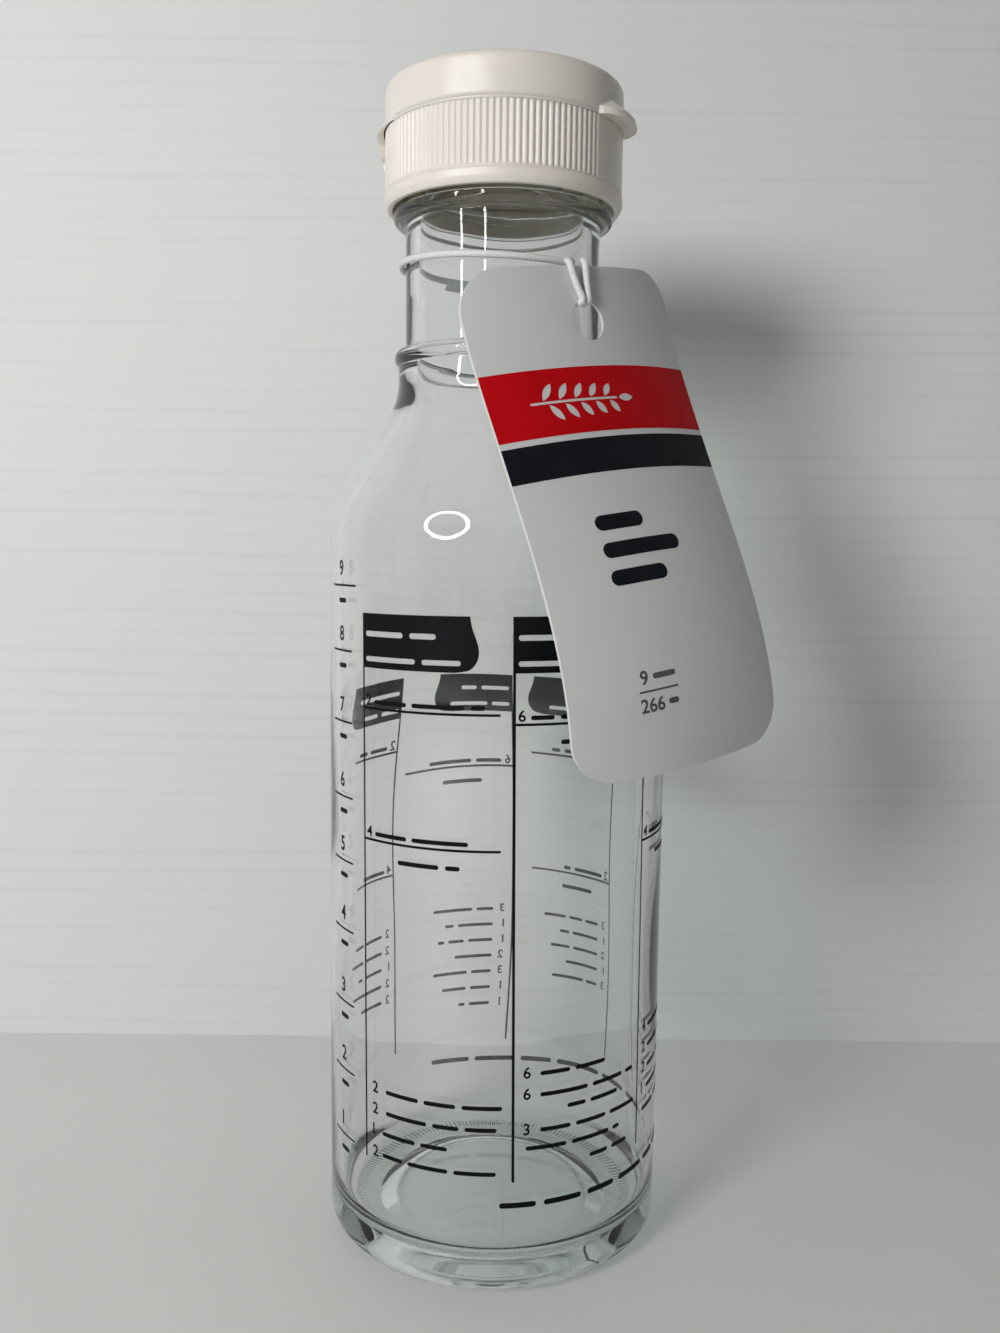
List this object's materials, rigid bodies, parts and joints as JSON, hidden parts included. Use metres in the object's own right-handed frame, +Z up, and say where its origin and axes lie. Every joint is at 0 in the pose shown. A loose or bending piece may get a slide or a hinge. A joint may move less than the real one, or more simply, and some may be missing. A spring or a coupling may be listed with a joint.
{
  "type": "salad dressing shaker bottle",
  "caption": "Clear glass shaker bottle with a ribbed screw cap, a hinged flip lid over a pouring spout, and a card tag on an elastic neck cord.",
  "frame": {"origin": "middle of the ring that the bottle stands on, at the table", "axes": "+Z up along the bottle's axis, -Y towards the front of the printed panel, +X to the right of it; the lid's thumb tab is 22 degrees from +X towards the front, and its hinge is opposite"},
  "size_m": [0.0756, 0.067, 0.2009],
  "materials": {
    "clear_glass": "polished clear soda-lime glass",
    "cap_plastic": "satin off-white moulded polypropylene",
    "liner_foam": "foamed polyethylene",
    "tag_card": "smooth white card, printed",
    "elastic_cord": "braided elastic with a slight sheen"
  },
  "bodies": {
    "bottle": {"glass_bottle": "clear_glass"},
    "liner": {"cap_liner": "liner_foam"},
    "cap": {"cap_base": "cap_plastic"},
    "lid": {"flip_lid": "cap_plastic", "hinge_web": "cap_plastic"},
    "cord_loop": {"tag_cord_ring": "elastic_cord"},
    "tag": {"hang_tag": "tag_card", "tag_cord_strands": "elastic_cord", "tag_cord_knot": "elastic_cord"}
  },
  "joints": [
    {"name": "cap_lift", "type": "slide", "parent": "bottle", "child": "liner", "axis": [0, 0, 1], "range_m": [0, 0.0127]},
    {"name": "cap_turn", "type": "hinge", "parent": "liner", "child": "cap", "pos_m": [0, 0, 0.19], "axis": [0, 0, 1], "range_deg": [0, 1080]},
    {"name": "lid_flip", "type": "hinge", "parent": "cap", "child": "lid", "pos_m": [-0.01993, 0.00805, 0.1901], "axis": [-0.3746, -0.9272, 0], "range_deg": [0, 165]},
    {"name": "tag_orbit", "type": "hinge", "parent": "bottle", "child": "cord_loop", "pos_m": [0, 0, 0.1715], "axis": [0, 0, 1], "continuous": true},
    {"name": "tag_swing", "type": "hinge", "parent": "cord_loop", "child": "tag", "pos_m": [0.01263, -0.01188, 0.1715], "axis": [-0.6852, -0.7284, 0], "range_deg": [0, 60]}
  ],
  "couplings": [
    {"joint": "cap_lift", "follows": "cap_turn", "m_per_rad": 0.00067323}
  ]
}
